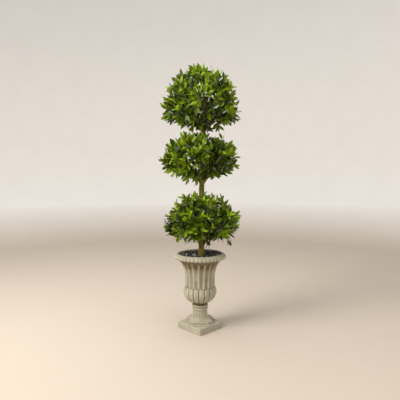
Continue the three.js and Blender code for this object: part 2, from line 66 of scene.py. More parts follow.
def unit(vectors):
    return vectors / np.maximum(lengthOf(vectors), 1e-9)


def mix(a, b, share):
    return a + (b - a) * share


def curveAt(a, b, c, t):  # the quadratic curve (1 - t)²·a + 2t(1 - t)·b + t²·c
    return (1 - t) ** 2 * a + 2 * t * (1 - t) * b + t ** 2 * c


def turned(radius, height, angle):  # points round the upright axis, from the front on to the right
    return np.stack([radius * np.sin(angle), -radius * np.cos(angle), height], -1)


def fullCircle(count):  # a row of angles
    return np.linspace(0, 2 * pi, count, endpoint=False)[None]


def beside(along, helper, angle):  # unit vectors across a line, at an angle round it
    aside = unit(np.cross(along, helper))
    return aside * np.cos(angle)[..., None] + np.cross(along, aside) * np.sin(angle)[..., None]


def smooth(low, high, value):  # 3t² - 2t³, where t is the value's share of the way from low to high
    share = np.clip((value - low) / (high - low), 0, 1)
    return share * share * (3 - 2 * share)


def ripple(points, size, seed, waves=16):
    # the sum of sine waves of about one length, each in a direction of its own: about -1.5 to 1.5
    random = np.random.default_rng(seed)
    lengths = size * random.uniform(0.7, 1.4, (waves, 1))
    directions = unit(random.normal(size=(waves, 3))) * (2 * pi / lengths)
    return np.sin(points @ directions.T + random.uniform(0, 2 * pi, waves)).sum(-1) / math.sqrt(waves)


def gridFaces(rows, columns, ring=True):
    # the four-cornered faces of a grid whose points are counted row by row, closed round if it is a ring
    row, column = np.meshgrid(np.arange(rows - 1), np.arange(columns - (not ring)), indexing="ij")
    after = (column + 1) % columns
    here, above = row * columns, (row + 1) * columns
    return np.stack([here + column, here + after, above + after, above + column], -1).reshape(-1, 4)


def fan(tip, first, columns):  # triangles from a point to a ring of points, the first of which is numbered so
    column = np.arange(columns)
    return np.stack([np.full(columns, tip), first + column, first + (column + 1) % columns], -1)


def closedRings(rings):
    # rings of points (row, column, xyz) from the bottom up, closed at each end by a point at its centre
    rows, columns = rings.shape[:2]
    points = np.concatenate([rings.reshape(-1, 3), rings[[0, -1]].mean(axis=1)])
    foot = fan(rows * columns, 0, columns)[:, [0, 2, 1]]
    head = fan(rows * columns + 1, (rows - 1) * columns, columns)
    return points, [gridFaces(rows, columns), foot, head]


def repeated(faces, pointsEach, count):  # the faces of one shape, numbered on for count shapes in a row
    shift = (np.arange(count) * pointsEach)[:, None, None]
    return [(f[None] + shift).reshape(-1, f.shape[1]) for f in faces]


def portions(kinds, draw):  # each kind, and where the draw falls into its share
    below = 0
    for name, look in kinds.items():
        yield name, look, (draw >= below) & (draw < below + look["share"])
        below += look["share"]


def addThing(name, data, place=(0, 0, 0)):
    thing = bpy.data.objects.new(name, data)
    thing.location = place
    bpy.context.scene.collection.objects.link(thing)
    return thing


def addPiece(name, points, faces, material, replaced=(), slot=None, flat=False, uv=None, values=None):
    # points in mm, faces as arrays of corner numbers, uv and values one for each point
    mesh = bpy.data.meshes.new(name)
    points = points.reshape(-1, 3) * mm
    corners = np.concatenate([f.ravel() for f in faces])
    sizes = np.concatenate([np.full(len(f), f.shape[1]) for f in faces])
    for rows, key, data, kind in (
        (mesh.vertices, "co", points, np.float32),
        (mesh.loops, "vertex_index", corners, np.int32),
        (mesh.polygons, "loop_start", np.cumsum(sizes) - sizes, np.int32),
    ):
        rows.add(len(data))
        rows.foreach_set(key, data.astype(kind).ravel())
    mesh.update(calc_edges=True)
    if uv is not None:
        uv = uv.reshape(-1, 2)[corners].astype(np.float32)
        mesh.uv_layers.new(name="leafMap").data.foreach_set("uv", uv.ravel())
    for title, value in (values or {}).items():
        layer = mesh.attributes.new(title, "FLOAT", "POINT")
        layer.data.foreach_set("value", value.astype(np.float32).ravel())
    if flat:
        mesh.shade_flat()
    else:
        mesh.shade_smooth()
    mesh.materials.append(material)
    piece = addThing(name, mesh)
    if slot:
        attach(piece, "root")
        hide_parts(*replaced)
    print(f"{name}: {int((sizes - 2).sum())} triangles")
    return piece


# Small tools for shader nodes, and the grain that the materials share.

def addNode(tree, kind, inputs=None, **settings):
    node = tree.nodes.new("ShaderNode" + kind)
    for name, value in settings.items():
        setattr(node, name, value)
    for name, value in (inputs or {}).items():
        socket = node.inputs[name]
        if isinstance(value, bpy.types.NodeSocket):
            tree.links.new(value, socket)
        else:
            socket.default_value = value
    return node


def mapped(tree, value, low, high, to=(0, 1)):  # low..high of a value, spread over the range to
    ends = {"From Min": low, "From Max": high, "To Min": to[0], "To Max": to[1]}
    return addNode(tree, "MapRange", {"Value": value, **ends}).outputs["Result"]


def sums(tree, kind, a, b):  # a math node of this kind
    return addNode(tree, "Math", {0: a, 1: b}, operation=kind).outputs["Value"]


def blended(tree, share, a, b):  # one colour laid over another by a share
    a, b = (c if isinstance(c, bpy.types.NodeSocket) else (*c, 1) for c in (a, b))
    return addNode(tree, "Mix", {0: share, 6: a, 7: b}, data_type="RGBA").outputs[2]


def makeGrainGroup():
    # mottle: slow changes; speckle: fine ones; pores: small pits; height: speckle less pores, for a bump
    group = bpy.data.node_groups.new("grain", "ShaderNodeTree")
    for name, value in {"Size": 60.0, "Stretch": 1.0, "Fineness": 8.0, "Seed": 0.0}.items():
        group.interface.new_socket(name, in_out="INPUT", socket_type="NodeSocketFloat").default_value = value
    given = group.nodes.new("NodeGroupInput").outputs
    place = addNode(group, "TexCoord").outputs["Object"]
    stretch = addNode(group, "CombineXYZ", {"X": 1, "Y": 1, "Z": given["Stretch"]}).outputs[0]
    shift = addNode(group, "CombineXYZ", {"X": given["Seed"], "Y": given["Seed"]}).outputs[0]
    moved = {"Vector": place, "Location": shift, "Scale": stretch}
    vector = addNode(group, "Mapping", moved).outputs["Vector"]
    fine = sums(group, "MULTIPLY", given["Size"], given["Fineness"])
    noises = []
    for scale, detail, rough in ((given["Size"], 3, 0.6), (fine, 4, 0.65)):
        wanted = {"Vector": vector, "Scale": scale, "Detail": detail, "Roughness": rough}
        noises.append(addNode(group, "TexNoise", wanted).outputs["Fac"])
    slow, quick = noises
    pits = addNode(group, "TexVoronoi", {"Vector": vector, "Scale": fine, "Randomness": 1})
    pores = mapped(group, pits.outputs["Distance"], 0.34, 0.1)
    few = sums(group, "MULTIPLY", pores, mapped(group, slow, 0.42, 0.62))
    results = {
        "Mottle": mapped(group, slow, 0.34, 0.66),
        "Speckle": mapped(group, quick, 0.35, 0.65),
        "Pores": few,
        "Height": sums(group, "SUBTRACT", quick, few),
    }
    for name in results:
        group.interface.new_socket(name, in_out="OUTPUT", socket_type="NodeSocketFloat")
    put = group.nodes.new("NodeGroupOutput").inputs
    for name, value in results.items():
        group.links.new(value, put[name])
    return group


grainGroup = makeGrainGroup()


def grain(tree, size, stretch=1.0, fineness=8.0, seed=0.0):
    wanted = {"Size": size, "Stretch": stretch, "Fineness": fineness, "Seed": seed}
    return addNode(tree, "Group", wanted, node_tree=grainGroup).outputs


def newMaterial(name, roughness=0.8, specular=0.5):
    material = bpy.data.materials.new(name)
    material.use_nodes = True
    tree = material.node_tree
    shader = tree.nodes["Principled BSDF"]
    shader.inputs["Roughness"].default_value = roughness
    shader.inputs["Specular IOR Level"].default_value = specular
    return material, tree, shader


def addFinish(tree, shader, colour, roughness=None, height=None, depth=0):
    # colour and roughness go into the shader, and a height becomes a bump of this depth in mm
    tree.links.new(colour, shader.inputs["Base Color"])
    if roughness is not None:
        tree.links.new(roughness, shader.inputs["Roughness"])
    if height is not None:
        bump = addNode(tree, "Bump", {"Height": height, "Distance": depth * mm})
        tree.links.new(bump.outputs["Normal"], shader.inputs["Normal"])


def makeGrainy(name, tone, other, size, depth, roughness, specular=0.5, gloss=None):
    # one tone mottled with another by the grain, which gives the relief too; gloss is the range of roughness
    material, tree, shader = newMaterial(name, roughness, specular)
    surface = grain(tree, *size)
    changing = mapped(tree, surface["Speckle"], 0, 1, gloss) if gloss else None
    addFinish(tree, shader, blended(tree, surface["Mottle"], tone, other), changing, surface["Height"], depth)
    return material


# The urn and its plinth.

urn = {
    "columns": 306, "flutes": 18,
    "turn": math.radians(-4.2),  # a ridge stands this far round from the front
    "steps": ((90, 80), (82.5, 70)),  # each a square of this half width, its corners cut off this far out
    "reeds": 28, "reedDepth": 2.6,
    "lobeDepth": 7.6, "lobeBorder": 1.3, "lobeDish": 1.1, "fluteDepth": 6.5,
    "arches": (391, 12),  # where the flutes' arches spring, and how far they rise
    "eggs": 42, "eggRelief": 2.6,
    "rimCentre": (132, 429),
    "rimSize": (21.6, 19.8, 12.8),  # its section's half breadth, its rise above the centre and its drop below
    "unevenness": 0.45,
}
stoneTones = {
    "cream": (0.435, 0.40, 0.295),
    "greyGreen": (0.325, 0.33, 0.245),
    "tan": (0.385, 0.32, 0.21),
    # the brown of a wash that also paints the shade in hollows, and of the pores
    "washAndShade": (0.135, 0.088, 0.034),
    "worn": (0.60, 0.56, 0.45),
}


def bow(a, b, c, count):  # a curve from a to c, count points, that leaves and ends in the direction of b
    return curveAt(*np.array([a, b, c], float)[:, None], np.linspace(0, 1, count)[:, None])


def bead(radius, low, high, bulge, count):  # a half-round moulding: radius + bulge · sin(πt)^0.7
    t = np.linspace(0, 1, count)
    return np.stack([radius + bulge * np.sin(pi * t) ** 0.7, mix(low, high, t)], -1)


def path(points, count):  # points spread evenly by length along a broken line
    points = np.array(points, float)
    length = np.concatenate([[0], np.cumsum(np.linalg.norm(np.diff(points, axis=0), axis=1))])
    at = np.linspace(0, length[-1], count)
    return np.stack([np.interp(at, length, column) for column in points.T], -1)


def carried(angle, *parts):  # radius and height of a profile, given in parts, at every angle
    profile = np.concatenate(parts)
    return profile[:, :1] + 0 * angle, profile[:, 1:] + 0 * angle


def across(angle, count):  # -1 to 1 across each of count equal parts of the circle, 0 at its middle
    return ((angle * count / (2 * pi)) % 1) * 2 - 1


def cutSquare(angle, half, cut):
    # how far out a square's side lies at an angle, or the cut across its corner, whichever comes first
    fromCut = (angle + pi / 4) % (pi / 2) - pi / 4
    fromSide = angle % (pi / 2) - pi / 4
    return np.minimum(half / np.cos(fromSide), cut / np.cos(fromCut))


def stepZone(angle):  # two steps with rounded edges: the outline less an inset, row by row
    lower, upper = (cutSquare(angle, *step) for step in urn["steps"])
    below = [(20, 34), (0, 34), (0, 36), (-0.3, 38.5), (0, 41), (0.3, 42.6), (1.2, 44.2), (2.8, 44.9)]
    above = [(-1.6, 45.2), (0.6, 45.6), (0.8, 47), (0, 48.4), (-0.2, 50.5), (0, 52.6), (0.7, 54.2), (2.2, 55),
             (4, 55.2)]
    radius = np.concatenate([lower - inset for inset, _ in below] + [upper - inset for inset, _ in above])
    height = np.array(below + above)[:, 1:] + 0 * angle
    # brown wash with painted shade in the grooves at the foot of each step
    hollowWashAndShade = 0.8 * smooth(1.6, 0, np.abs(height - 45.8)) + 0.5 * smooth(2.5, 0, np.abs(height - 36))
    return radius, height, hollowWashAndShade


def skirtZone(angle):
    # a quadratic curve, less a groove of a⁴ between one reed and the next
    radius, height = carried(angle, bow((66.4, 55.6), (45, 58), (42.4, 101), 46))
    a = across(angle - urn["turn"], urn["reeds"])
    reeded = smooth(62, 67, height) * smooth(100.5, 97, height)
    relief = urn["reedDepth"] * (0.25 - np.abs(a) ** 3) * reeded
    # brown wash with painted shade between the reeds and at the skirt's foot
    hollowWashAndShade = 0.7 * np.abs(a) ** 3 * reeded + 0.3 * smooth(59, 55, height)
    return radius + relief, height, hollowWashAndShade


def shaftZone(angle):
    # the plain drum, the ring and the collar: half-round beads with narrow grooves between them
    drum = path([(42.6, 101.5), (42.0, 105), (42.2, 109.5), (43.4, 111), (43.2, 112)], 10)
    ring = bead(43.0, 112.6, 126.6, 3.2, 14)
    groove = path([(42.8, 127.4), (42.0, 128.6), (42.8, 129.8)], 4)
    collar = bead(44.0, 130.4, 145, 4.8, 16)
    neck = path([(42.5, 146), (40.4, 148.5), (40.0, 152), (40.4, 154)], 7)
    radius, height = carried(angle, drum, ring, groove, collar, neck)
    # brown wash with painted shade in the two grooves and in the neck under the bowl
    hollowWashAndShade = 0.7 * smooth(2.2, 0, np.abs(height - 111.6)) + smooth(2.6, 0, np.abs(height - 128.6))
    return radius, height, hollowWashAndShade + smooth(142, 147, height)


def lobeZone(angle):
    # tongues that run from the neck over the belly, each with a raised border and a round top: q is how far
    # a point lies from a tongue's middle, 1 at its outline, and the relief is -depth · q⁴
    foot, top, end = 155, 251, 253
    curve = bow((40.6, foot), (88, 167.5), (98, 214), 38)
    over = [(98.3, 217), (98.4, 223), (97.8, 229), (96, 236), (93.6, 242), (91, 247), (89, 250), (88.2, end)]
    radius, height = carried(angle, curve, path(over, 24))
    a = np.abs(across(angle - urn["turn"], urn["flutes"]))
    along = (height - foot) / (top - foot)
    width = 0.96 * np.clip(1 - (np.clip(along - 0.76, 0, None) / 0.24) ** 3, 1e-3, 1) ** (1 / 3)
    q = np.clip(a / width, 0, 1)
    size = radius / 98
    border = urn["lobeBorder"] * np.exp(-(((q - 0.78) / 0.12) ** 2)) * smooth(0.05, 0.3, along)
    dish = -urn["lobeDish"] * (1 - np.clip(q / 0.66, 0, 1) ** 2) * smooth(0.2, 0.5, along)
    relief = -urn["lobeDepth"] * q ** 4 * size * smooth(end, 238, height)
    relief += (border + dish) * size * smooth(end, 247, height) + 0.9  # the middle keeps the full reach
    # brown wash with painted shade between the tongues, over the neck and lightly in each dish
    hollowWashAndShade = smooth(0.78, 1, q) * (0.9 - 0.35 * smooth(0.6, 0.9, along)) + 0.75 * smooth(184, 158, height)
    hollowWashAndShade += 0.12 * smooth(0.7, 0.3, q) * smooth(0.3, 0.5, along)
    return radius + relief * smooth(foot, 164, height) * smooth(end, 249, height), height, hollowWashAndShade


def wallZone(angle):
    # hollow flutes between narrow ridges, depth · (1 - a²)^0.8, each ended by an arch above
    straight = path([(88, 254), (87.7, 258), (87.4, 266), (87.4, 281), (87.9, 300), (88.6, 315)], 34)
    flare = bow((88.7, 316), (91.5, 350), (103.5, 380), 34)
    cove = path([(104.4, 382), (108, 388.6), (112.4, 395), (117, 400.4), (123.5, 406.5), (130.5, 411.8),
                 (137.5, 415.4)], 18)
    radius, height = carried(angle, straight, flare, cove)
    a = np.abs(across(angle - urn["turn"], urn["flutes"]))
    inFlute = np.clip(a / 0.84, 0, 1)
    spring, rise = urn["arches"]
    arch = spring + rise * np.sqrt(1 - inFlute ** 2)
    ended = np.clip((arch - height) / rise, 0, 1) ** 0.6 * np.clip((height - 253.5) / 5, 0, 1) ** 0.5
    depth = urn["fluteDepth"] * (1 - inFlute ** 2) ** 0.8
    relief = -depth * ended + 0.8 * smooth(0.86, 0.96, a) * ended
    # brown wash with painted shade under the rim, at the belt and inside the flutes, less on the ridges
    ridge = smooth(0.78, 0.95, a) * smooth(402, 382, height)
    hollowWashAndShade = smooth(340, 400, height) * (0.85 - 0.45 * ridge) + 0.35 * smooth(260, 254, height)
    hollowWashAndShade += 0.42 * ended * (1 - inFlute ** 2)
    return radius + relief, height, hollowWashAndShade


def rimZone(angle):
    # the rim: two parts of ellipses carried round, with eggs raised on it, √(1 - e²) inside e = 1, and darts
    # between them
    turn = np.radians(np.linspace(-62, 92, 40))[:, None]
    down = np.degrees(turn)
    p = across(angle - urn["turn"], urn["eggs"])
    e = np.sqrt((p / 0.68) ** 2 + ((down + 2) / 50) ** 2)
    egg = urn["eggRelief"] * np.sqrt(np.clip(1 - e ** 2, 0, 1)) - 1.5 * np.exp(-(((e - 1.14) / 0.17) ** 2))
    dart = np.exp(-(((np.abs(p) - 1) / 0.13) ** 2)) * smooth(60, 30, np.abs(down))
    roll = (egg + dart - 1.2) * smooth(-62, -48, down) * smooth(88, 62, down)
    (middle, level), (wide, rise, drop) = urn["rimCentre"], urn["rimSize"]
    radius = middle + (wide + roll) * np.cos(turn)
    height = level + (np.where(turn > 0, rise, drop) + roll) * np.sin(turn) + 0 * angle
    # brown wash with painted shade under the rim and in the groove round each egg
    rings = 0.6 * np.exp(-(((e - 1.14) / 0.2) ** 2)) * smooth(66, 36, np.abs(down))
    return radius, height, 0.8 * smooth(-32, -60, down) + rings


def mouthZone(angle):  # from the rim's top in and down to the floor of the hollow
    inside = [(128.5, 448.6), (125.4, 447.4), (123.4, 444), (122.8, 436), (121.5, 421), (109, 402), (76, 345),
              (66, 242)]
    radius, height = carried(angle, path(inside, 20))
    # brown wash with painted shade on the mouth's inner wall below the lip
    return radius, height, smooth(446, 441, height)


def addStone(name, points, hollowWashAndShade, edge, stone):
    rings, faces = closedRings(points)
    values = {"hollowWashAndShade": np.append(hollowWashAndShade, [0, 0]), "edge": np.append(edge, [0, 0])}  # 0 at the two ends
    addPiece(name, rings, faces, stone, ["urn"], "urn", values=values)


def makeUrn(stone):
    angle = fullCircle(urn["columns"])
    zones = (stepZone, skirtZone, shaftZone, lobeZone, wallZone, rimZone, mouthZone)
    radius, height, hollowWashAndShade = (np.concatenate(rows) for rows in zip(*[zone(angle) for zone in zones]))
    points = turned(radius, height, angle)
    uneven = 0.7 * ripple(points, 55, 3) + 0.4 * ripple(points, 17, 4) + 0.22 * ripple(points, 6, 5)
    points = points + unit(points * [1, 1, 0]) * (urn["unevenness"] * uneven)[..., None]
    around = sum(np.roll(radius, step, 1) for step in (1, -1, 4, -4)) / 4
    proud = smooth(0.12, 0.9, radius - around)  # of the points beside it
    # worn pale on proud edges, plus a painted light that makes the urn paler from the neck down
    edge = proud + 0.25 * smooth(160, 100, height)
    addStone("urn_body", points, np.clip(hollowWashAndShade, 0, 1), edge, stone)


plinth = {"side": 188, "height": 36, "corner": 3.0, "edge": 2.6, "sideSteps": 30, "cornerSteps": 8}


def makePlinth(stone):
    # a square with round corners, carried up by insets: flat foot, upright side, round edge, level top
    half, corner, edge, height = plinth["side"] / 2, plinth["corner"], plinth["edge"], plinth["height"]
    bevel, side = np.linspace(0, pi / 2, 6), np.linspace(3, height - edge, 9)
    rising, level = height - edge + edge * np.sin(bevel), height + np.array([0.1, 0.2, 0.3, 0.4, 0.4])
    heights = np.concatenate([[0, 0, 0, 0, 0.3, 1.4], side, rising, level])
    foot, top = [half - 70, 30, 8, 2.4, 0.9, 0], [6, 10, 16, 24, 34]
    insets = np.concatenate([foot, 0 * side, edge * (1 - np.cos(bevel)), top])
    reach = half - corner
    turn = np.linspace(0, pi / 2, plinth["cornerSteps"])
    run = np.linspace(reach, -reach, plinth["sideSteps"] + 2)[1:-1]
    # the outline as x + iy: times i is a quarter turn, and times (1 + i) / √2 puts a corner to the front
    quarter = np.concatenate([corner * np.exp(1j * turn) + reach * (1 + 1j), run + 1j * half])
    outline = np.concatenate([quarter * 1j ** turns for turns in range(4)]) * (1 + 1j) / math.sqrt(2)
    square = outline * (1 - insets / half)[:, None]
    points = np.stack([square.real, square.imag, heights[:, None] + 0 * square.real], -1)
    uneven = 0.5 * ripple(points, 60, 8) + 0.35 * ripple(points, 18, 9) + 0.25 * ripple(points, 7, 10)
    inwards = 0.5 * smooth(0, 4, points[..., 2]) * (uneven + 0.9)
    points = points - unit(points * [1, 1, 0]) * inwards[..., None]
    points[..., 2] += 0.3 * uneven * smooth(30, 36, points[..., 2])
    rounded = (insets > 0.3) & (insets < 8) & (heights > 20)
    # worn pale on the rounded top edges, plus 0.35 everywhere: a painted light that makes the plinth paler
    worn = 0.35 + rounded[:, None] * 0.45 + 0 * uneven
    addStone("plinth", points, 0 * worn, worn, stone)


def makeStone():
    # mottled cast stone: cream, grey-green and tan, a brown wash with painted shade held in the hollows,
    # edges worn pale, and a painted light that makes the lower parts paler
    material, tree, shader = newMaterial("castStone", 0.86)
    large, small = grain(tree, 22, 1, 9), grain(tree, 90, 1, 7, 3.7)
    hollowWashAndShade, edge = (addNode(tree, "Attribute", attribute_name=name).outputs["Fac"]
                    for name in ("hollowWashAndShade", "edge"))
    colour = blended(tree, large["Mottle"], stoneTones["cream"], stoneTones["greyGreen"])
    colour = blended(tree, mapped(tree, small["Mottle"], 0.45, 1, (0, 0.7)), colour, stoneTones["tan"])
    # the brown wash that also paints shade, patchy and cloudy, laid where the urn's hollows are marked
    patchy = sums(tree, "MULTIPLY", hollowWashAndShade, mapped(tree, small["Speckle"], 0, 1, (0.75, 1.2)))
    cloudy = mapped(tree, large["Mottle"], 0, 1, (-0.08, 0.06))
    washAndShade = mapped(tree, sums(tree, "ADD", patchy, cloudy), 0.08, 0.95)
    colour = blended(tree, washAndShade, colour, stoneTones["washAndShade"])
    # worn edges made pale, which also paints light on the plinth and the urn's lower parts
    worn = sums(tree, "MULTIPLY", edge, mapped(tree, large["Speckle"], 0.1, 0.8))
    colour = blended(tree, mapped(tree, worn, 0, 1, (0, 0.55)), colour, stoneTones["worn"])
    colour = blended(tree, mapped(tree, small["Pores"], 0, 1, (0, 0.55)), colour, stoneTones["washAndShade"])
    height = sums(tree, "ADD", small["Height"], large["Height"])
    addFinish(tree, shader, colour, mapped(tree, small["Speckle"], 0, 1, (0.78, 0.95)), height, 0.9)
    return material


stone = makeStone()
makeUrn(stone)
makePlinth(stone)
print("urn done")


# The chippings in the urn.

chippings = {
    "count": 760, "length": (12, 25),
    "breadth": (0.5, 0.85),  # as a share of the length, and so is the thickness
    "thickness": (0.3, 0.55),
    "broken": (0.75, 1.15),  # how far a corner may be pushed in or out
    "radius": 120,
    "round": 25,  # how near to the middle they lie
    "offset": 6.5,  # how far to the right that middle is
    "level": 431.5,
    "heaped": 7,  # how much higher the bed is at the rim
    "top": 447.5,
}
stoneSides = np.reshape([  # the three corners of each side
    0, 11, 5, 0, 5, 1, 0, 1, 7, 0, 7, 10, 0, 10, 11, 1, 5, 9, 5, 11, 4, 11, 10, 2, 10, 7, 6, 7, 1, 8,
    3, 9, 4, 3, 4, 2, 3, 2, 6, 3, 6, 8, 3, 8, 9, 4, 9, 5, 2, 4, 11, 6, 2, 10, 8, 6, 7, 9, 8, 1,
], (20, 3))
chipTones = {
    "dark": {"share": 0.78, "colour": (0.005, 0.0045, 0.003), "light": (0.021, 0.018, 0.013)},
    "grey": {"share": 0.13, "colour": (0.07, 0.066, 0.06), "light": (0.15, 0.145, 0.13)},
    "pale": {"share": 0.09, "colour": (0.34, 0.31, 0.26), "light": (0.52, 0.49, 0.43)},
}


def makeGround(material):
    # a disc of rings with waves for a bumpy bed, closed by a skirt that goes down inside the urn
    rows = 34
    angle = fullCircle(120)
    radius = np.linspace(chippings["radius"] + 1.5, 3, rows)[:, None] + 0 * angle
    points = turned(radius, 0 * radius, angle)
    bumps = 1.6 * ripple(points, 22, 31) + ripple(points, 9, 32)
    heap = chippings["heaped"] * smooth(70, 116, radius)
    points[..., 2] = chippings["level"] + bumps * smooth(122, 112, radius) + heap
    skirt = points[:1] * [0.62, 0.62, 0] + [0, 0, 330]
    rings, faces = closedRings(np.concatenate([skirt, points]))
    addPiece("ground_bed", rings, faces, material, ["soil"], "soil")


def brokenStones(count, random):
    # icosahedra drawn out to three sizes, each corner pushed in or out, and turned at random
    ratio = (1 + math.sqrt(5)) / 2
    pairs = [(-1, ratio), (1, ratio), (-1, -ratio), (1, -ratio)]
    ball = unit(np.array([np.roll((a, b, 0), step) for step in range(3) for a, b in pairs]))
    length = random.uniform(*chippings["length"], count)
    others = [length * random.uniform(*chippings[key], count) for key in ("breadth", "thickness")]
    sizes = np.stack([length, *others], -1)[:, None] / 2
    corners = ball * random.uniform(*chippings["broken"], (count, 12, 1)) * sizes
    spin = random.uniform(0, 2 * pi, count)
    lean = random.normal(0, 0.35, (count, 2))
    ahead = unit(np.stack([np.cos(spin), np.sin(spin), lean[:, 0]], -1))
    upward = unit(np.cross(ahead, np.stack([-np.sin(spin), np.cos(spin), lean[:, 1]], -1)))
    return corners @ np.stack([ahead, np.cross(upward, ahead), upward], 1)


def makeChippings():
    # laid from the trunk outwards by the golden angle, on a bed that is heaped against the rim
    random = np.random.default_rng(41)
    count, inner, outer = chippings["count"], chippings["round"], chippings["radius"]
    corners = brokenStones(count, random)
    number = np.arange(count)
    radius = mix(inner, outer - 4, np.sqrt((number + 0.5) / count)) + random.normal(0, 2, count)
    radius = np.clip(radius, inner, outer - 3)
    height = chippings["level"] + random.uniform(0.5, 4.5, count)
    height += chippings["heaped"] * smooth(70, 112, radius)
    corners += (turned(radius, height, number * goldenAngle) + [chippings["offset"], 0, 0])[:, None]
    reach = np.linalg.norm(corners[..., :2], axis=-1).max(1)
    kept = (reach < outer + 2.5) & (corners[..., 2].max(1) < chippings["top"])
    for name, tone, drawn in portions(chipTones, random.random(count)):
        chosen = corners[kept & drawn]
        tones = (tone["colour"], tone["light"])
        material = makeGrainy(name + "Chippings", *tones, (120, 1, 5, 1.3), 0.5, 0.55, 0.3, (0.42, 0.75))
        faces = repeated([stoneSides], 12, len(chosen))
        addPiece(f"{name}_chippings", chosen, faces, material, ["soil"], "soil", flat=True)
        if name == "dark":
            makeGround(material)


makeChippings()
print("chippings done")


# The trunk, and the limbs that leave it.

trunk = {
    "foot": 431.3, "tip": 1400, "offset": 6.5, "lean": 14, "sway": 3.5,
    "radius": 16.8, "tipShare": 0.3, "taperPower": 2.2, "flare": 3.8, "flareHeight": 18,
    "furrows": 0.75, "knots": 26, "knotSize": (4, 8),
    "sunk": 7,  # how far it goes on below the chippings
    "columns": 64, "rings": 300,
}
barkTones = {"ridge": (0.27, 0.235, 0.05), "moss": (0.17, 0.172, 0.018), "furrow": (0.045, 0.036, 0.009)}


def trunkShare(z):
    return (z - trunk["foot"]) / (trunk["tip"] - trunk["foot"])


def trunkAt(z):  # the centre line: a lean, plus a slow sine to each side
    share = trunkShare(np.asarray(z, float))
    x = trunk["offset"] + trunk["lean"] * share + trunk["sway"] * np.sin(3 * pi * share)
    return np.stack([x, trunk["sway"] * np.sin(2 * pi * share + 1), z + 0 * share], -1)


def trunkRadius(z):  # radius · (1 - (1 - tip share) · share^power), plus a flare that dies away upwards
    taper = 1 - (1 - trunk["tipShare"]) * np.maximum(0, trunkShare(z)) ** trunk["taperPower"]
    return trunk["radius"] * taper + trunk["flare"] * np.exp((trunk["foot"] - z) / trunk["flareHeight"])


def makeBark():
    material, tree, shader = newMaterial("oliveBark", 0.85, 0.2)
    long, fine = grain(tree, 70, 0.16, 3), grain(tree, 160, 0.5, 4, 2.1)
    colour = blended(tree, long["Mottle"], barkTones["moss"], barkTones["ridge"])
    colour = blended(tree, mapped(tree, long["Speckle"], 0.6, 0.05, (0, 0.85)), colour, barkTones["furrow"])
    addFinish(tree, shader, colour, None, sums(tree, "ADD", long["Height"], fine["Height"]), 1.2)
    return material


def makeTrunk(bark):
    # rings round the centre line; furrows are waves drawn out along the stem, knots are round swellings
    random = np.random.default_rng(7)
    foot, tip, knots = trunk["foot"], trunk["tip"], trunk["knots"]
    z = np.append(np.linspace(foot - trunk["sunk"], tip, trunk["rings"]), tip + 0.6)[:, None]
    angle = fullCircle(trunk["columns"])[0]
    radius = trunkRadius(np.maximum(z, foot - 4))
    radius[-1] *= 0.7
    outwards = turned(1, 0 * angle, angle)
    around = outwards * radius[..., None] + z[..., None] * [0, 0, 0.13]
    furrows = trunk["furrows"] * (ripple(around, 11, 12) + 0.7 * ripple(around, 5, 13))
    relief = furrows * radius / trunk["radius"]
    ranges = ((0, 2 * pi), (450, 1380), trunk["knotSize"])
    for at, level, size in zip(*[random.uniform(*ends, knots) for ends in ranges]):
        turn = (angle - at + pi) % (2 * pi) - pi
        distance = ((turn * radius) ** 2 + (z - level) ** 2) / size ** 2
        relief = relief + size * (0.24 * np.exp(-distance) - 0.12 * np.exp(-distance * 7))
    relief = relief + 0.9 * np.exp((foot - z) / 24) * np.sin(5 * angle + 1)  # the root flare's ribs
    rings, faces = closedRings(trunkAt(z) + outwards * (radius + relief)[..., None])
    addPiece("trunk_bark", rings, faces, bark, ["trunk"], "bark")


def bend(a, b, c, t):  # points on quadratic curves, for rows of a, b and c and for shares t
    a, b, c = (np.atleast_2d(np.asarray(p, float))[:, None] for p in (a, b, c))
    return curveAt(a, b, c, np.asarray(t, float)[None, :, None])


def tubes(paths, radii, sides, relief):
    # limbs carried along paths (limb, ring, xyz): each ring stands across the way its path runs there
    count, rings = paths.shape[:2]
    along = unit(np.gradient(paths, axis=1))
    main = unit(paths[:, -1] - paths[:, 0])
    least = np.eye(3)[np.abs(main).argmin(-1)]
    ring = beside(along[:, :, None], least[:, None, None], fullCircle(sides)[0])
    points = paths[:, :, None] + ring * np.broadcast_to(radii, (count, rings))[:, :, None, None]
    if relief:
        points = points + ring * (relief * ripple(points * [1, 1, 0.5], 6, 21))[..., None]
    tips = paths[:, [0, -1]]
    points = np.concatenate([points.reshape(count, -1, 3), tips], 1)
    _, faces = closedRings(np.zeros((rings, sides, 3)))
    return points, repeated(faces, rings * sides + 2, count)


def addLimbs(name, runs, material, replaced, slot):
    # limbs joined in one piece: each run has its paths, the radii along them, its sides and its relief
    points, faces, shift = [], [], 0
    for run in runs:
        some, theirs = tubes(*run)
        points.append(some.reshape(-1, 3))
        faces += [f + shift for f in theirs]
        shift += len(points[-1])
    addPiece(name, np.concatenate(points), faces, material, replaced, slot)
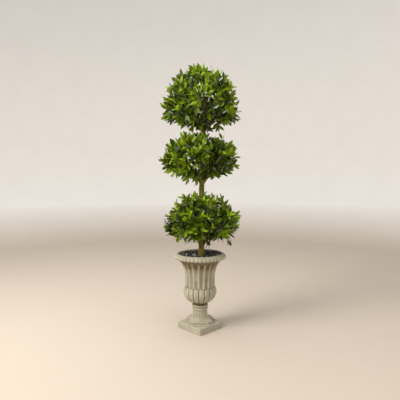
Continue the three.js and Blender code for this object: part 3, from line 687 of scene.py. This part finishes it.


# The three tiers of foliage.

# Centre, radius, up and down are the source's outline; clippedUp and clippedDown are the leaves' own. Open is
# the share of shoots left out, deeper makes fewer leaves fresh, a painted shade that darkens the lower tiers,
# and no leaf passes the floor or ceiling.
# Strays stand out of the outline. Windows have no leaves: x, z, half width, half height, fall to the front.
tiers = [
    {
        "name": "lower", "seed": 11, "centre": np.array([14, 0, 632]), "radius": 231,
        "up": 168, "down": 128, "clippedUp": 190, "clippedDown": 113,
        "open": 0.12, "deeper": 0.08, "floor": 446, "ceiling": 834, "sprays": 28,
        "firstBough": 18, "boughFoot": 494, "boughRise": 54, "boughReach": 52, "boughRadius": (7.5, 5),
        "strays": [(-232, -20, 556), (243, 22, 616), (176, -66, 514), (14, -72, 806)],
        "drooping": [  # leafy shoots that hang out of it, and how deep a green each is
            {"bend": ((20, -8, 545), (36, -15, 530), (49, -20, 503)), "deeper": 2},
            {"bend": ((120, -48, 566), (148, -58, 556), (160, -62, 534)), "deeper": 0.3},
            {"bend": ((-100, -46, 576), (-120, -55, 568), (-128, -58, 550)), "deeper": 0},
        ],
        "bare": [((-6, -4, 506), (-50, -14, 530), (-93, -22, 501))],  # a thin twig without leaves
        "windows": [], "leader": None,
    },
    {
        "name": "middle", "seed": 5, "centre": np.array([-4, 0, 985]), "radius": 230,
        "up": 172, "down": 112, "clippedUp": 190, "clippedDown": 104,
        "open": 0.03, "deeper": 0.03, "floor": 826, "ceiling": 1172, "sprays": 28,
        "firstBough": 42, "boughFoot": 858, "boughRise": 50, "boughReach": 50, "boughRadius": (6.8, 4.6),
        "strays": [(-246, 12, 988), (236, -14, 984), (206, -15, 1100), (-192, -25, 1110)],
        "drooping": [
            {"bend": ((-50, -20, 930), (-62, -26, 915), (-72, -30, 882)), "deeper": -1},
            {"bend": ((-14, -26, 925), (-18, -30, 910), (-21, -33, 876)), "deeper": -0.5},
        ],
        "bare": [],
        "windows": [(14, 968, 11, 26, 0.05)],
        "leader": None,
    },
    {
        "name": "top", "seed": 23, "centre": np.array([5, 0, 1300]), "radius": 232,
        "up": 246, "down": 136, "clippedUp": 246, "clippedDown": 136,
        "open": 0.08, "deeper": 0, "floor": 1158, "ceiling": 1560, "sprays": 34,
        "firstBough": 6, "boughFoot": 1158, "boughRise": 48, "boughReach": 44, "boughRadius": (5.8, 4.4),
        "strays": [(-243, -16, 1284), (240, -30, 1246), (-22, -8, 1547), (174, -20, 1490)],
        "drooping": [], "bare": [],
        "windows": [(18, 1333, 13, 44, 0.21), (-172, 1486, 34, 28, 0)],  # the trunk, the left shoulder
        "leader": {"halfAngle": math.radians(40), "rise": 60},
    },
]
growth = {
    "boughs": 6, "stagger": 17, "stemReach": 0.42, "stemTip": 3.2,
    "twig": (2.3, 1.5), "shoot": (1.3, 0.7),
    "twigPart": 0.84,  # of the way to the outline, where a twig ends and its middle shoot goes on
    "shoots": 7,  # finer twigs on each twig
    "spread": 88,  # how far a spray's shoots fan out round its end
    "uneven": 0.2,  # of the outline, that a shoot may end short of it
    "inset": 28.8,  # how far inside the outline they end, to leave room for leaves
    "leavesEach": 9,
    "leafyPart": 84,  # the length of a shoot's end that bears leaves
}
leaf = {
    "length": 48, "width": 19.5,
    "stations": (0, 0.06, 0.18, 0.32, 0.48, 0.64, 0.8, 0.92, 1),
    "fold": (0.10, 0.30), "arch": (-0.02, 0.16), "twist": 0.5, "wave": 0.0096, "sickle": 0.03,
    "sizes": (0.84, 1.12), "faceTurn": 0.5,
    "spread": (0.3, 1.25),  # the angle from the shoot, in radians, at its tip and at its last leaf
}
leafTones = {
    "fresh": {"share": 0.34, "colour": (0.235, 0.352, 0.003), "sheen": 0.2, "roughness": (0.34, 0.5)},
    "middle": {"share": 0.35, "colour": (0.083, 0.142, 0.002), "sheen": 0.2, "roughness": (0.3, 0.48)},
    "deep": {"share": 0.31, "colour": (0.026, 0.044, 0.002), "sheen": 0.8, "roughness": (0.16, 0.32)},
}
leafMarks = {"rib": ((0.34, 0.42, 0.06), 0.35), "back": ((0.16, 0.2, 0.03), 0.3)}  # a tone and its share
twigTones = {"light": (0.09, 0.085, 0.02), "dark": (0.05, 0.035, 0.015)}
clipped = {
    "fullness": (2.15, 3.0),  # of the shoulders above and below the widest level
    "overshoot": 0.07,  # how far a leaf may pass the outline
    "openBelow": 0.5,  # the share of shoots left out at the very bottom
}


def seeded(seed):  # the source's own run of numbers, so that the sprays end where its sprays end
    state = seed
    while True:
        state = (state * 1664525 + 1013904223) % 4294967296
        yield state / 4294967296


def outlineShare(tier, points):
    # 1 on the clipped outline, less inside it: the p-th root of (radius share)^p + (height share)^p, where a
    # higher p makes a fuller shoulder
    away = points - tier["centre"]
    above = away[..., 2] > 0
    power = np.where(above, *clipped["fullness"])
    height = np.abs(away[..., 2]) / np.where(above, tier["clippedUp"], tier["clippedDown"])
    radius = np.hypot(away[..., 0], away[..., 1]) / tier["radius"]
    return (radius ** power + height ** power) ** (1 / power)


def tierEnds(tier):
    # even over the outline by the golden angle, a little uneven, plus the strays
    random, centre, ends = seeded(tier["seed"]), tier["centre"], []
    for i in range(tier["sprays"]):
        upward = 1 - 2 * (i + 0.5) / tier["sprays"]
        azimuth = i * goldenAngle + tier["seed"] + 0.2 * (next(random) - 0.5)
        reach = tier["radius"] * math.sqrt(1 - upward ** 2)
        height = upward * (tier["up"] if upward > 0 else tier["down"])
        tip = centre + [reach * math.sin(azimuth), -reach * math.cos(azimuth), height]
        ends.append(mix(tip, centre, 0.07 * next(random)))
    inside = np.maximum(1, outlineShare(tier, np.array(ends)))[:, None]
    return np.concatenate([centre + (ends - centre) / inside, tier["strays"]])


def inLeader(tier, points):  # inside the cone over the trunk's tip
    if not tier["leader"]:
        return np.zeros(len(points), bool)
    away = points - trunkAt(trunk["tip"] - tier["leader"]["rise"])
    return np.hypot(away[:, 0], away[:, 1]) < away[:, 2] * math.tan(tier["leader"]["halfAngle"])


def growLimbs(tier):
    # boughs that leave the trunk, rise and bend out, and one stem that goes on from each bough's tip
    number = np.arange(growth["boughs"])
    azimuth = math.radians(tier["firstBough"]) + number * 2 * pi / growth["boughs"]
    out = turned(1, 0 * azimuth, azimuth)
    foot = trunkAt(tier["boughFoot"] - number % 2 * growth["stagger"])
    top = tier["boughFoot"] + tier["boughRise"]
    knee = foot + out * tier["boughReach"] * 0.45
    knee[:, 2] = mix(foot[:, 2], top, 0.65)
    tip = foot + out * tier["boughReach"]
    tip[:, 2] = top
    end = tier["centre"] + out * tier["radius"] * growth["stemReach"]
    control = tip + unit(tip - knee) * 0.4 * lengthOf(end - tip)
    return {"azimuth": azimuth, "bough": (foot, knee, tip), "stem": (tip, control, end)}


def growTwigs(tier, limbs):
    # every end belongs to the mass it lies in; its twig starts further along the stem the further out it ends
    ends, centre = tierEnds(tier), tier["centre"]
    foot, root = trunkAt(centre[2]), trunkAt(trunk["tip"])
    bearing = np.arctan2(ends[:, 0] - foot[0], foot[1] - ends[:, 1])
    turn = (bearing[:, None] - limbs["azimuth"] + pi) % (2 * pi) - pi
    mass = np.where(inLeader(tier, ends), growth["boughs"], np.abs(turn).argmin(1))
    twigs = []
    for number, stem in enumerate([*np.stack(limbs["stem"], 1), root + np.outer([0, 30, 58], [0, 0, 1])]):
        own = ends[mass == number]
        own = own[np.argsort((own - stem[0]) @ unit(stem[2] - stem[0]))]
        at = mix(0.1, 0.97, np.arange(len(own)) / max(1, len(own) - 1))
        start = bend(*stem, at)[0]
        along = unit(bend(*stem, np.minimum(at + 0.02, 1))[0] - bend(*stem, at - 0.02)[0])
        tip = own + unit(centre - own) * growth["inset"]
        control = start + along * 0.35 * lengthOf(tip - start)
        twigs.append([start, control, tip])
    return np.concatenate(twigs, 1)


def withMore(shoots, more):  # rows of roots, knees and ends, and a list of further shoots
    return np.concatenate([shoots, np.reshape(more, (-1, 3, 3)).transpose(1, 0, 2)], 1)


def growShoots(tier, twigs, random):
    # finer twigs that fan out round a twig's end: their ends lie on a golden spiral across it, then on the
    # outline or a little short of it, and the first one goes on from the twig's own tip
    starts, controls, tips = twigs
    count, each, centre = len(starts), growth["shoots"], tier["centre"]
    out = unit(tips - centre)
    number = np.arange(each)
    angle = number * goldenAngle + random.uniform(0, 2 * pi, (count, 1))
    radius = growth["spread"] * np.sqrt((number + 0.5) / each) * random.uniform(0.8, 1.15, (count, each))
    ends = tips[:, None] + beside(out[:, None], [0.3, 0.2, 1.0], angle) * radius[..., None]
    short = growth["uneven"] * random.random((count, each)) ** 1.5
    wanted = np.maximum(1, outlineShare(tier, tips + out * growth["inset"]))[:, None] * (1 - short)
    outer = centre + (ends - centre) * (wanted / outlineShare(tier, ends))[..., None]
    ends = outer - unit(outer - centre) * growth["inset"]
    at = growth["twigPart"] * mix(1, 0.3, (number + random.random((count, each))) / each)
    at[:, 0] = growth["twigPart"]
    roots = curveAt(starts[:, None], controls[:, None], tips[:, None], at[..., None])
    ahead = unit(tips - controls)[:, None]
    knees = roots + unit(mix(ahead, unit(ends - roots), 0.5)) * 0.45 * lengthOf(ends - roots)
    low = smooth(0.25, 1, (centre[2] - outer[..., 2]) / tier["clippedDown"])
    kept = random.random((count, each)) > tier["open"] + clipped["openBelow"] * low
    return withMore([roots[kept], knees[kept], ends[kept]], [shoot["bend"] for shoot in tier["drooping"]])


def growLeaves(tier, shoots, random):
    # leaves round a shoot's end by the golden angle, the more upright the nearer to its tip
    roots, knees, ends = (points[:, None] for points in shoots)
    count, each = len(roots), growth["leavesEach"]
    behind = np.linspace(0, 1, each)  # 0 at the shoot's tip, 1 at its last leaf
    length = lengthOf(ends - roots)[..., 0]
    back = behind ** 0.9 * np.minimum(growth["leafyPart"], 0.8 * length)
    at = (1 - back / length)[..., None]
    place = curveAt(roots, knees, ends, at)
    tangent = unit((1 - at) * (knees - roots) + at * (ends - knees))
    start = random.uniform(0, 2 * pi, (count, 1))
    angle = np.arange(each) * goldenAngle + start + random.normal(0, 0.25, (count, each))
    radial = beside(tangent, [0.21, 0.13, 0.97], angle)
    spread = (mix(*leaf["spread"], behind ** 0.7) + random.normal(0, 0.14, (count, each)))[..., None]
    along = np.cos(spread) * tangent + np.sin(spread) * radial + [0, 0, 0.1]
    face = np.sin(spread) * tangent - np.cos(spread) * radial + [0, 0, 0.2]
    face += random.normal(0, leaf["faceTurn"], (count, each, 3))
    size = leaf["length"] * mix(0.78, 1, np.minimum(1, 3 * behind))
    size = size * random.uniform(*leaf["sizes"], (count, each))
    spray = np.repeat(np.arange(count), each)
    rows = {"root": place, "along": unit(along), "face": face}
    leaves = {key: value.reshape(-1, 3) for key, value in rows.items()}
    free = spray >= count - len(tier["drooping"])
    return {**leaves, "length": size.ravel(), "spray": spray, "behind": np.tile(behind, count), "free": free}


def clearOf(tier, leaves):
    # kept: leaves whose tips stay in the tier's reach, between its floor and ceiling, off the trunk and out
    # of its windows; the drooping ones are free of the outline
    tips = leaves["root"] + leaves["along"] * leaves["length"][:, None]
    middles = mix(leaves["root"], tips, 0.5)
    share = outlineShare(tier, tips)
    limit = np.maximum(1 + clipped["overshoot"], outlineShare(tier, leaves["root"]) + 0.1)
    kept = ((share < limit) | leaves["free"]) & (share > 0.3)
    kept &= (tips[:, 2] > tier["floor"]) & (tips[:, 2] < tier["ceiling"])
    for x, z, wide, high, fall in tier["windows"]:
        for points in (leaves["root"], middles, tips):
            above = points[:, 2] - z - fall * points[:, 1]
            kept &= (points[:, 1] > 0) | (np.hypot((points[:, 0] - x) / wide, above / high) > 1)
    for points in (middles, tips):
        z = np.minimum(points[:, 2], trunk["tip"])
        kept &= lengthOf(points - trunkAt(z))[:, 0] > trunkRadius(z) + 3
    lowest, highest = np.array(cadBox) / mm
    kept &= ((tips > lowest - 4) & (tips < highest + 4)).all(-1)
    return kept


def leafMeshes(leaves, random):
    # one leaf is a grid of stations by five columns: width · sin(π·u^0.92)^0.75 across, folded up from the
    # midrib, arched along it, twisted and waved at the margin, each by its own amount
    count, stations = len(leaves["root"]), len(leaf["stations"])
    each = (count, 1, 1)
    u = np.array(leaf["stations"])[:, None]
    v = np.linspace(-1, 1, 5)
    half = np.maximum(np.sin(pi * u ** 0.92) ** 0.75, 0.045 * (1 - u))  # no narrower than the stalk
    half = 0.5 * leaf["width"] / leaf["length"] * half * random.uniform(0.85, 1.12, each)
    fold, arch = (random.uniform(*leaf[key], each) for key in ("fold", "arch"))
    twist = random.normal(0, leaf["twist"], each) * u
    sickle = random.normal(0, leaf["sickle"], each) * u ** 2
    wave = leaf["wave"] * np.sin(2 * pi * (1.4 * u + random.random(each))) * v
    lift = fold * half * np.abs(v) ** 1.3 + wave
    x = half * v * np.cos(twist) - lift * np.sin(twist) + sickle
    z = half * v * np.sin(twist) + lift * np.cos(twist) - arch * u ** 2
    y = u * (1 - 0.5 * arch ** 2) + 0 * v
    side = unit(np.cross(leaves["along"], leaves["face"]))
    axes = np.stack([side, leaves["along"], np.cross(side, leaves["along"])], 1)
    laid = np.stack([x, y, z], -1).reshape(count, -1, 3) * leaves["length"][:, None, None]
    uv = np.stack(np.broadcast_arrays((v + 1) / 2, u), -1)
    faces = repeated([gridFaces(stations, 5, ring=False)], stations * 5, count)
    return leaves["root"][:, None] + laid @ axes, faces, np.broadcast_to(uv, (count, stations, 5, 2))


def nearer(colour, tone, share):  # a colour moved towards a tone
    return tuple(mix(c, t, share) for c, t in zip(colour, tone))


def makeLeafMaterial(name, look):
    # one plain green, a paler midrib, small changes of shade and a satin face; the back is duller
    material, tree, shader = newMaterial(name, 0.8, look["sheen"])
    colour = look["colour"]
    surface = grain(tree, 45, 1, 6, 5.2)
    uv = addNode(tree, "UVMap", uv_map="leafMap").outputs["UV"]
    crosswise = addNode(tree, "SeparateXYZ", {"Vector": uv}).outputs["X"]
    fromRib = sums(tree, "ABSOLUTE", sums(tree, "SUBTRACT", crosswise, 0.5), 0)
    rib = mapped(tree, fromRib, 0.06, 0, (0, 0.4))
    shade = blended(tree, surface["Mottle"], colour, tuple(c * 0.72 for c in colour))
    shade = blended(tree, rib, shade, nearer(colour, *leafMarks["rib"]))
    backing = addNode(tree, "NewGeometry").outputs["Backfacing"]
    shade = blended(tree, backing, shade, nearer(colour, *leafMarks["back"]))
    height = sums(tree, "SUBTRACT", surface["Speckle"], sums(tree, "MULTIPLY", rib, 2))
    addFinish(tree, shader, shade, mapped(tree, surface["Speckle"], 0, 1, look["roughness"]), height, 0.25)
    return material


def toneRank(tier, leaves, random):
    # 0 to 1 from the freshest leaf to the deepest: each spray draws its freshness, and its leaves are the
    # fresher the nearer they stand to its tip; leaves higher in the tier lean a little fresher, a painted
    # light on its top
    draw = random.random(leaves["spray"].max() + 1)
    for number, shoot in enumerate(tier["drooping"]):
        draw[number - len(tier["drooping"])] += shoot["deeper"]
    draw = draw[leaves["spray"]]
    # higher leaves lean fresher: a painted light on the top of each tier
    high = smooth(tier["floor"], tier["ceiling"], leaves["root"][:, 2])
    wish = draw + 0.55 * leaves["behind"] - 0.15 * high + random.normal(0, 0.14, len(draw))
    # the tier's deeper share leaves fewer of its leaves fresh: a painted shade on the lower tiers
    return mix(tier["deeper"], 1, np.argsort(np.argsort(wish)) / len(wish))


def growTier(tier, bark, twigMaterial, leafMaterials):
    name, number = tier["name"], range(1, growth["boughs"] + 1)
    random = np.random.default_rng(tier["seed"] * 7 + 1)
    masses = [f"{name}_foliage_{i}" for i in number] + [f"{name}_foliage_leader"] * bool(tier["leader"])
    limbs = growLimbs(tier)
    twigs = growTwigs(tier, limbs)
    shoots = growShoots(tier, twigs, random)
    leaves = growLeaves(tier, shoots, random)

    t = np.linspace(0, 1, 14)
    paths = np.concatenate([bend(*limbs["bough"], t), bend(*limbs["stem"], t[1:])], 1)
    thick, thin = tier["boughRadius"]
    girth = np.concatenate([mix(thick, thin, t), mix(thin, growth["stemTip"], t[1:])])
    addLimbs(f"{name}_boughs", [(paths, girth, 14, 0.4)], bark, [f"{name}_bough_{i}" for i in number], "bark")

    runs = []
    twigs = (twigs, growth["twig"], growth["twigPart"], 9, 7)
    shoots = (withMore(shoots, tier["bare"]), growth["shoot"], 1, 7, 5)
    for curves, girths, part, steps, sides in (twigs, shoots):
        t = np.linspace(0, part, steps)
        runs.append((bend(*curves, t), mix(*girths, t / part), sides, 0))
    addLimbs(f"{name}_twigs", runs, twigMaterial, masses, "leaves")

    kept = clearOf(tier, leaves)
    for title, _, drawn in portions(leafTones, toneRank(tier, leaves, random)):
        chosen = {key: value[kept & drawn] for key, value in leaves.items()}
        points, faces, uv = leafMeshes(chosen, random)
        addPiece(f"{name}_{title}_leaves", points, faces, leafMaterials[title], masses, "leaves", uv=uv)


bark = makeBark()
makeTrunk(bark)
twigMaterial = makeGrainy("greenTwig", twigTones["light"], twigTones["dark"], (60, 0.6, 5, 8.8), 0.4, 0.7)
leafMaterials = {name: makeLeafMaterial(name + "Leaf", look) for name, look in leafTones.items()}
for tier in tiers:
    growTier(tier, bark, twigMaterial, leafMaterials)
print("plant done")


# The studio.

studio = {
    "floor": (0.56, 0.48, 0.395),
    "wall": (0.90, 0.88, 0.85),
    "dust": (0.3, 0.27, 0.24),
    "radius": 4800, "height": 5200, "cove": 1500,
    "camera": (0, -2.18, 0.87), "pitch": 2.8, "lens": 33.3,
    "sky": (0.94, 0.96, 1.0), "skyPower": 0.6,
}
lights = {  # where each stands and looks at in metres, its size, power and colour
    "keyLight": ((-2.5, -1.5, 2.6), (0, 0, 0.75), 1.5, 124, (1.0, 0.98, 0.95)),
    "fillLight": ((2.3, -2.1, 0.9), (0, 0, 0.15), 1.1, 13, (1.0, 0.96, 0.90)),
    "topLight": ((-0.3, -0.2, 3.3), (0, 0, 0.9), 1.8, 40, (1.0, 0.99, 0.97)),
}


def makeBackdrop():
    # a round floor that sweeps up into a wall: a quarter circle between the level and the upright
    angle = fullCircle(96)
    turn = np.linspace(0, pi / 2, 14)
    radius, cove = studio["radius"], studio["cove"]
    flat = radius - cove
    out = np.concatenate([[0.3 * flat, 0.7 * flat], flat + cove * np.sin(turn), [radius]])
    up = np.concatenate([[0, 0], cove * (1 - np.cos(turn)), [studio["height"]]])
    points = turned(*carried(angle, np.stack([out, up], -1)), angle)
    rows, columns = points.shape[:2]
    faces = [gridFaces(rows, columns)[:, ::-1], fan(rows * columns, 0, columns)]
    material, tree, shader = newMaterial("paleFloor", 0.8)
    surface = grain(tree, 3, 1, 20)
    place = addNode(tree, "TexCoord").outputs["Object"]
    level = addNode(tree, "SeparateXYZ", {"Vector": place}).outputs["Z"]
    tone = blended(tree, mapped(tree, level, 0, 0.5), studio["floor"], studio["wall"])
    worn = blended(tree, 0.03, tone, studio["dust"])
    addFinish(tree, shader, blended(tree, surface["Mottle"], tone, worn))
    addPiece("backdrop", np.append(points.reshape(-1, 3), [[0, 0, 0]], 0), faces, material)


def makeStudio():
    scene = bpy.context.scene
    makeBackdrop()
    for name, (place, target, size, power, colour) in lights.items():
        light = bpy.data.lights.new(name, "AREA")
        light.shape, light.size, light.energy, light.color = "SQUARE", size, power, colour
        lamp = addThing(name, light, place)
        lamp.rotation_euler = (lamp.location - Vector(target)).to_track_quat("Z", "Y").to_euler()
    scene.world = bpy.data.worlds.new("softRoom")
    scene.world.use_nodes = True
    sky = scene.world.node_tree.nodes["Background"].inputs
    sky["Color"].default_value = (*studio["sky"], 1)
    sky["Strength"].default_value = studio["skyPower"]
    scene.view_settings.view_transform = "Standard"
    lens = bpy.data.cameras.new("camera")
    lens.lens = studio["lens"]
    scene.camera = addThing("camera", lens, studio["camera"])
    scene.camera.rotation_euler = (math.radians(90 - studio["pitch"]), 0, 0)


makeStudio()
print("studio done")
